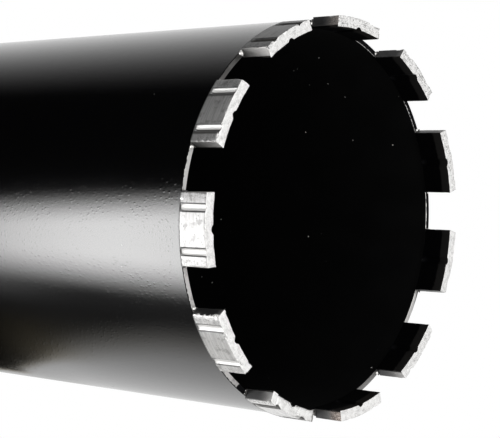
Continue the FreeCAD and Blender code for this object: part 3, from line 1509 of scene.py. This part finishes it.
    def mesh_lines(self, size: Vector) -> list[list[float]]:
        """The lines that the segment's mesh is cut along.

        Args:
            size: Half length, thickness and height of the segment.

        Returns:
            The lines sideways, through the thickness and in height.
        """
        sideways = [-size.x, size.x]
        for part in (0.12, 0.3, 0.55):
            sideways += [-size.x + part * MM, size.x - part * MM]
        for centre in (-self.outer_groove_offset, self.outer_groove_offset):
            sideways += self.groove_marks(centre, self.outer_groove_width, self.outer_groove_depth)
        sideways += self.groove_marks(0.0, self.inner_groove_width, self.inner_groove_depth)
        inward = [0.0, size.y]
        for part in (0.12, 0.3):
            inward += [part * MM, size.y - part * MM]
        upward = [0.0, 0.2 * MM, 0.5 * MM, size.z - 0.5 * MM, size.z - 0.25 * MM, size.z - 0.1 * MM, size.z]
        return [self.filled(marks, self.mesh_step) for marks in (sideways, inward, upward)]

    def grooved_depth(self, place: Vector, size: Vector, wave: float) -> float:
        """How deep a place of the worn block lies below the ring's outside, once the grooves are cut.

        Args:
            place: Sideways, inward and height of the place.
            size: Half length, thickness and height of the block.
            wave: How far the grooves wander sideways here.

        Returns:
            The depth.
        """
        share = place.y / size.y
        nearing = limited((place.z - size.z) / self.groove_close + 1.0, 0.0, 1.0)
        closing = 1.0 - self.groove_closed * nearing ** 2
        outside_cut = closing * max(
            self.groove(place.x - centre - wave, place.z, self.outer_groove_width, self.outer_groove_depth)
            for centre in (-self.outer_groove_offset, self.outer_groove_offset)
        )
        inside_cut = self.groove(place.x - wave, place.z, self.inner_groove_width, self.inner_groove_depth)
        return place.y + outside_cut * (1.0 - share) - inside_cut * share

    def build(self) -> bpy.types.Object:
        """Shape, bend and place the segment.

        Returns:
            The piece.
        """
        low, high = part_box("segment_01")
        outer_radius = high.x
        size = Vector((high.y, self.thickness, high.z - low.z))
        mesh = self.block(self.mesh_lines(size))
        wear = self.wear
        names = (SegmentRecipe.PLACE, SegmentRecipe.FINISH, SegmentRecipe.SOIL)
        for name in names:
            mesh.verts.layers.float_vector.new(name)
        layers = [mesh.verts.layers.float_vector[name] for name in names]
        seed = Vector((0.31, 0.17, 0.23)) * self.number
        for vertex in mesh.verts:
            plain = vertex.co.copy()
            spot = plain + seed
            place = self.roughened(self.worn(plain, size, spot), self.face_of(plain, size), spot)
            wave = self.groove_wander * noise.noise(Vector((0.0, 0.0, plain.z * 300.0)) + seed)
            depth = self.grooved_depth(place, size, wave)
            vertex[layers[0]] = Vector((place.x, depth, place.z)) / MM
            vertex[layers[1]] = Vector((wear.tone, wear.overspray, wear.grit))
            vertex[layers[2]] = Vector((wear.dirt_and_shade, wear.crust, wear.shade))
            from_axis = outer_radius - depth
            across = math.sqrt(from_axis * from_axis - place.x * place.x)
            vertex.co = Vector((across, place.x, low.z + place.z))
        for lump in wear.lumps:
            self.add_lump(mesh, Vector(lump[:3]) * MM, lump[3] * MM, outer_radius, low.z)
        bmesh.ops.rotate(mesh, verts=mesh.verts, cent=CENTRE, matrix=Matrix.Rotation(self.azimuth, 3, AXIS))
        bmesh.ops.recalc_face_normals(mesh, faces=mesh.faces)
        name = f"cutting_segment_{self.number:02d}"
        return finish_piece(mesh, name, [self.metal], self.node, 50.0)


@dataclass
class SegmentSeam(RingPiece):
    """The laser weld under one segment, with the beads that it threw up at the segment's corners.

    Each corner bead has a depth below the rim's outside in millimetres and a share of the usual radius. Each
    bead of the spatter has a side, a depth and a radius, the last two in millimetres.
    """

    half_length: float = 12.6 * MM
    wall: float = 2.0 * MM
    bead_radius: float = 0.34 * MM
    ripple: float = 0.09 * MM
    corner_beads: Sequence[Pair] = ((0.35, 1.0), (1.45, 0.8))
    spatter: Sequence[Triple] = ()

    @property
    def node(self) -> str:
        """Name of the CAD node that this seam stands for."""
        return f"segment_weld_{self.number:02d}"

    def add_bead(
        self, mesh: bmesh.types.BMesh, across: float, from_axis: float, height: float, radius: float
    ) -> None:
        """Add one lump of spatter to the seam that faces +X.

        Args:
            mesh: The seam's mesh.
            across: Sideways place of the lump.
            from_axis: Its distance from the bit's axis.
            height: Its height.
            radius: Its radius.
        """
        place = Vector((math.sqrt(from_axis ** 2 - across ** 2), across, height))
        layer = mesh.verts.layers.float[SeamMetal.attribute]
        made = bmesh.ops.create_icosphere(mesh, subdivisions=3, radius=radius)
        for vertex in made["verts"]:
            vertex.co *= 1.0 + 0.22 * noise.noise(vertex.co * 2200.0 + place * 900.0)
            vertex.co += place
            vertex[layer] = 1.0

    def section(self, rim: float, low: float, high: float) -> Section:
        """The seam's section, which bulges a little past the rim on both sides.

        Args:
            rim: Outer radius of the rim.
            low: Height of the rim.
            high: Height of the segment's base.

        Returns:
            Radius and height of each corner.
        """
        inner = rim - self.wall
        middle = (low + high) / 2
        return [
            (inner + 0.2 * MM, low - 0.05 * MM),
            (rim - 0.2 * MM, low - 0.05 * MM),
            (rim + 0.05 * MM, middle),
            (rim + 0.25 * MM, high),
            (rim - 0.6 * MM, high + 0.05 * MM),
            (inner + 0.6 * MM, high + 0.05 * MM),
            (inner - 0.2 * MM, high),
            (inner - 0.05 * MM, middle),
        ]

    def build(self) -> bpy.types.Object:
        """Spin the seam along the rim and set its beads.

        Returns:
            The piece.
        """
        low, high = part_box("segment_weld_01")
        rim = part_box("barrel_tube")[1].x
        mesh = bmesh.new()
        mesh.verts.layers.float.new(SeamMetal.attribute)
        half_angle = math.asin(self.half_length / rim)
        spin(mesh, self.section(rim, low.z, high.z), 120, 2.0 * half_angle, start=-half_angle)
        ends = [edge for edge in mesh.edges if edge.is_boundary]
        bmesh.ops.holes_fill(mesh, edges=ends, sides=0)
        seed = Vector((0.13, 0.29, 0.07)) * self.number
        for vertex in mesh.verts:
            radius = ring_radius(vertex.co)
            out = self.ripple * noise.noise((vertex.co + seed) * 900.0)
            pull_radius(vertex, radius + (out if radius > rim - MM else -out))
        for side in (-1.0, 1.0):
            for deep, width in self.corner_beads:
                chance = noise.noise(Vector((side * 3.1, deep * 7.7, self.number * 1.37)))
                radius = self.bead_radius * width * (0.75 + 0.6 * chance)
                across = side * (self.half_length - 0.25 * MM)
                self.add_bead(mesh, across, rim - deep * MM, low.z + 0.1 * MM, radius)
        for side, deep, radius in self.spatter:
            self.add_bead(mesh, side * self.half_length, rim - deep * MM, low.z + 0.3 * MM, radius * MM)
        bmesh.ops.rotate(mesh, verts=mesh.verts, cent=CENTRE, matrix=Matrix.Rotation(self.azimuth, 3, AXIS))
        bmesh.ops.recalc_face_normals(mesh, faces=mesh.faces)
        return finish_piece(mesh, f"segment_seam_{self.number:02d}", [self.metal], self.node, 70.0)


# The whole bit


@dataclass
class CoreBit:
    """The barrel, its end plate and hub, and the ring of cutting segments."""

    count: int
    # The shares that scale the ground grey are painted light and shade, the groove darkening of segments 1
    # and 8 is partly painted shade, and segment 11's groove shade is painted shade.
    wear: Mapping[int, SegmentWear] = field(
        default_factory=lambda: {
            1: SegmentWear(outer_edge=1.5, tone=0.52, overspray=-0.15, grit=0.7, dirt_and_shade=1.0),
            2: SegmentWear(outer_edge=1.6, front=1.5, overspray=0.5, grit=1.5, crust=0.6),
            3: SegmentWear(outer_edge=1.6, front=1.6, overspray=0.95, grit=1.7),
            4: SegmentWear(front=1.4, overspray=0.9, grit=1.5),
            5: SegmentWear(outer_edge=0.7, overspray=0.3, grit=1.0),
            6: SegmentWear(outer_edge=0.9, overspray=0.2, grit=1.0),
            7: SegmentWear(outer_edge=0.6, front=0.7, overspray=0.3, grit=0.65, crust=1.0),
            8: SegmentWear(
                outer_edge=1.3, inner_edge=2.0, front=1.2, tone=2.2, overspray=0.6, dirt_and_shade=0.9, crack=-8.6
            ),
            9: SegmentWear(
                outer_edge=2.7, inner_edge=2.2, ends=1.5, front=1.4,
                tone=1.9, overspray=1.0, grit=0.2, scallop=-1.0,
                lumps=(
                    (-11.0, 0.55, 1.3, 0.95),
                    (-10.95, 0.55, 3.8, 1.0),
                    (-11.0, 0.5, 6.3, 0.95),
                    (-11.1, 0.5, 8.8, 0.8),
                ),
            ),
            10: SegmentWear(grit=0.3, tone=1.1, lumps=((-9.8, 0.62, 0.75, 0.85),)),
            11: SegmentWear(outer_edge=1.35, tone=1.15, grit=0.5, shade=1.0, scallop=0.6),
        }
    )
    spatter: Mapping[int, Sequence[Triple]] = field(
        default_factory=lambda: {
            1: ((1.0, 0.5, 0.95), (-1.0, 0.7, 0.6)),
            2: ((1.0, 1.3, 0.55),),
            3: ((1.0, 1.2, 0.5), (-1.0, 1.4, 0.45)),
            4: ((1.0, 1.4, 0.6), (-1.0, 1.2, 0.5)),
            6: ((-1.0, 1.2, 0.65),),
            7: ((1.0, 1.2, 0.6),),
            9: ((-1.0, 1.0, 0.6),),
            11: ((1.0, 0.6, 0.7), (-1.0, 0.6, 0.5)),
        }
    )

    def build(self) -> None:
        """Build every piece in order, from the hub to the cutting edge."""
        paint = BlackPaint().material()
        weld_paint = BlackPaint(name="painted_weld", roughness=0.32, dust_size=3.0 * MM).material()
        CouplingHub(paint, TurnedSteel().material()).build()
        self.welds(weld_paint)
        EndPlate(paint).build()
        rim = CutRim(outer_radius=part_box("barrel_tube")[1].x).material()
        Barrel(paint, InnerPaint().material(), rim).build()
        sintered = SinteredMetal().material()
        seam = SeamMetal().material()
        for number in range(1, self.count + 1):
            SegmentSeam(seam, number, self.count, spatter=self.spatter.get(number, ())).build()
            CuttingSegment(sintered, number, self.count, self.wear.get(number, SegmentWear())).build()

    def welds(self, paint: bpy.types.Material) -> None:
        """Lay the two ring welds.

        Args:
            paint: The finish over them.
        """
        low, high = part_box("end_plate_weld")
        middle = (low.z + high.z) / 2
        half = (high.z - low.z) / 2
        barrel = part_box("barrel_tube")[1].x
        crown = high.x - barrel
        turns = [math.pi / 2 * part / 6 for part in range(-6, 7)]
        arc = [(barrel + crown * math.cos(turn), middle + half * math.sin(turn)) for turn in turns]
        toes = ((barrel, low.z), (barrel, high.z))
        section = [(barrel - half, middle)] + arc
        RippledWeld(paint, "end_plate_weld", "barrel_weld", section, toes, crown).build()

        low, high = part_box("hub_weld")
        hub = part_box("coupling_hub")[1].x
        leg = high.z - low.z
        bulge = 0.5 * MM
        arc = []
        for share in (part / 12 for part in range(13)):
            out = bulge * math.sin(math.pi * share) / math.sqrt(2)
            arc.append((hub + leg * share + out, low.z + leg * share - out))
        toes = ((hub, low.z), (hub + leg, high.z))
        section = [(hub, high.z)] + arc
        RippledWeld(paint, "hub_weld", "hub_fillet_weld", section, toes, bulge, steps=420).build()


# Studio


@dataclass(frozen=True)
class SoftBox:
    """A soft lamp on a stand, turned to a point on the bit's axis."""

    name: str
    azimuth: float
    distance: float
    height: float
    aim_height: float
    width: float
    length: float
    radiance: float
    diffuse: float = 1.0
    shine: float = 1.0

    def build(self) -> bpy.types.Object:
        """Place the lamp. It lights the bit and stays out of sight itself.

        Returns:
            The lamp.
        """
        lamp = bpy.data.lights.new(self.name, "AREA")
        lamp.shape = "RECTANGLE"
        lamp.size = self.width
        lamp.size_y = self.length
        lamp.energy = self.radiance * 4.0 * self.width * self.length
        lamp.diffuse_factor = self.diffuse
        lamp.specular_factor = self.shine
        holder = bpy.data.objects.new(self.name, lamp)
        turn = math.radians(self.azimuth)
        holder.location = (self.distance * math.cos(turn), self.distance * math.sin(turn), self.height)
        aim = Vector((0.0, 0.0, self.aim_height)) - holder.location
        holder.rotation_euler = aim.to_track_quat("-Z", "Y").to_euler()
        holder.visible_camera = False
        bpy.context.scene.collection.objects.link(holder)
        return holder


@dataclass(frozen=True)
class GlossCove:
    """A low curved wall round the bit, seen only in its gloss: white behind, black beside, one soft panel.

    The angles are counted from the direction that faces the camera, in degrees, and a lean is in degrees for
    each metre of height.
    """

    name: str = "gloss_cove"
    facing: float = 60.0
    foot: float = 0.085
    radius: float = 0.34
    top: float = 0.46
    open_from: float = 0.26
    level: float = 0.147
    panel_start: float = -10.0
    panel_full: float = 10.0
    start_lean: float = -37.0
    panel_fade: float = 23.0
    panel_end: float = 48.0
    end_lean: float = 26.0
    skirt_fade: float = 34.0
    skirt_end: float = 64.0
    panel_radiance: float = 10.6
    near_black: float = -67.0
    near_white: float = -130.0
    far_edge: float = 75.0
    far_level: float = 0.195
    far_lean: float = 150.0
    far_bend: float = 4800.0
    far_soft: float = 18.0
    far_crisp: float = 5.0
    far_foot: float = 0.05
    far_radiance: float = 1.12
    far_loss: float = 0.3
    dusk: float = 0.08
    warm_white: Colour = (1.0, 0.87, 0.6)

    def panel(self, angle: Signal, height: Signal) -> Signal:
        """Light of the soft panel, which leans and has a faint skirt at its far side.

        Args:
            angle: Angle round the wall, in degrees.
            height: Height on the wall.

        Returns:
            The light.
        """
        above = height - self.level
        start = (angle - above * self.start_lean).rise(self.panel_start, self.panel_full)
        leaning = angle - above * self.end_lean
        stop = leaning.rise(self.panel_end, self.panel_fade)
        skirt = leaning.rise(self.skirt_end, self.skirt_fade)
        stop = stop + (skirt - stop) * (height.rise(0.13, 0.05) * 0.14 + 0.015)
        strength = height.rise(-0.12, 0.2) * (height.rise(0.34, 0.22) * 0.55 + 0.45)
        return start * stop * strength * self.panel_radiance

    def far_side(self, angle: Signal, height: Signal) -> Signal:
        """Where the wall turns white again on the far side, along an edge that bends with the height.

        Args:
            angle: Angle round the wall, in degrees.
            height: Height on the wall.

        Returns:
            The mask.
        """
        below = (self.far_level - height).larger(0.0)
        edge = below * self.far_lean + below * below * below * self.far_bend + self.far_edge
        edge = edge - (self.far_foot - height).larger(0.0) * 150.0 + height.rise(0.008, 0.002) * 6.0
        soft = height.rise(0.05, 0.11) * (self.far_soft - self.far_crisp) + self.far_crisp
        return ((angle - edge) / soft).rise(-1.0, 1.0)

    def finish(self) -> bpy.types.Material:
        """Make the wall shine by its angle and height.

        Returns:
            The material.
        """
        recipe = Recipe(self.name)
        x, y, height = recipe.axes()
        turn = math.radians(self.facing)
        ahead = x * math.cos(turn) + y * math.sin(turn)
        aside = y * math.cos(turn) - x * math.sin(turn)
        angle = recipe.signal("ShaderNodeMath", {"operation": "ARCTAN2"}, {0: aside, 1: ahead})
        angle = angle * math.degrees(1.0)
        near = angle.rise(self.near_black, self.near_white)
        far = self.far_side(angle, height)
        glow = angle.rise(60.0, 100.0) * height.rise(0.035, 0.075) * 1.4
        gloom = angle.rise(36.0, 60.0) * self.dusk * (height.rise(0.01, 0.06) * 0.9 + 0.1 + glow)
        farthest = far * (self.far_radiance - angle.rise(108.0, 150.0) * (self.far_loss * self.far_radiance))
        shine = self.panel(angle, height) + near + farthest + gloom
        shine = shine + (1.0 - shine) * height.rise(self.open_from, self.top)
        warm = angle.rise(54.0, 78.0) * (1.0 - far) * (height.rise(0.12, 0.07) * 0.7 + 0.3)
        tint = recipe.blend(warm, WHITE[:3], self.warm_white)
        light = {"Color": recipe.scaled(tint, shine), "Strength": 1.0}
        recipe.show(recipe.node("ShaderNodeEmission", {}, light))
        return recipe.material

    def build(self) -> bpy.types.Object:
        """Spin the wall and its floor, and hide both from everything but gloss.

        Returns:
            The wall.
        """
        mesh = bmesh.new()
        spin(mesh, [(self.foot, MM), (self.radius, MM), (self.radius, self.top)], 96, closed=False)
        cove = put_in_scene(mesh, self.name, [self.finish()])
        cove.visible_camera = False
        cove.visible_diffuse = False
        cove.visible_shadow = False
        cove.visible_transmission = False
        return cove


@dataclass(frozen=True)
class Studio:
    """Pale floor, white surroundings, a soft lamp overhead and a cove for the gloss."""

    floor_radius: float = 9.0
    floor_drop: float = 0.05 * MM
    sky_light: float = 0.55
    lamp: SoftBox = SoftBox("overhead_lamp", 60.0, 0.35, 1.9, 0.4, 1.3, 1.3, 2.0, shine=0.5)

    def floor(self) -> None:
        """Lay the floor."""
        mesh = bmesh.new()
        bmesh.ops.create_circle(mesh, cap_ends=True, segments=128, radius=self.floor_radius)
        bmesh.ops.translate(mesh, verts=mesh.verts, vec=(0.0, 0.0, -self.floor_drop))
        put_in_scene(mesh, "floor", [StudioFloor().material()])

    def surroundings(self) -> None:
        """Fill the room with even light, and show it white."""
        world = bpy.data.worlds.new("surroundings")
        bpy.context.scene.world = world
        world.use_nodes = True
        nodes = Nodes(world.node_tree)
        sockets = {"Value": nodes.shown(), "To Min": self.sky_light, "To Max": 1.0}
        strength = nodes.signal("ShaderNodeMapRange", {}, sockets)
        background = nodes.tree.nodes["Background"]
        nodes.feed(background, "Color", WHITE)
        nodes.feed(background, "Strength", strength)

    def build(self) -> None:
        """Set up the whole studio."""
        self.floor()
        self.surroundings()
        self.lamp.build()
        GlossCove().build()


@dataclass(frozen=True)
class PhotoCamera:
    """The camera: near the mouth, looking down at it, and rolled so that the bit lies level in its view."""

    position: Triple = (0.19762, 0.36273, 0.82338)
    heading: float = -118.7264
    dip: float = 41.2236
    roll: float = 92.2339
    lens: float = 107.264
    sensor: float = 36.0

    def build(self) -> bpy.types.Object:
        """Set up the camera and make it the scene's own.

        Returns:
            The camera.
        """
        data = bpy.data.cameras.new("photo_camera")
        data.lens = self.lens
        data.sensor_fit = "HORIZONTAL"
        data.sensor_width = self.sensor
        data.clip_start = 0.01
        data.clip_end = 40.0
        heading, dip = math.radians(self.heading), math.radians(self.dip)
        look = Vector((math.cos(heading) * math.cos(dip), math.sin(heading) * math.cos(dip), -math.sin(dip)))
        level = look.to_track_quat("-Z", "Y")
        camera = bpy.data.objects.new("photo_camera", data)
        camera.location = self.position
        camera.rotation_euler = (level @ Quaternion(AXIS, math.radians(self.roll))).to_euler()
        bpy.context.scene.collection.objects.link(camera)
        bpy.context.scene.camera = camera
        return camera


def main() -> None:
    """Build the bit and its studio."""
    logging.basicConfig(level=logging.INFO, format="%(message)s")
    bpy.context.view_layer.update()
    bpy.context.scene.view_settings.view_transform = "Standard"
    PhotoCamera().build()
    Studio().build()
    count = sum(name.startswith("segment_weld_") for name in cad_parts)
    CoreBit(count).build()


if __name__ == "__main__":
    main()
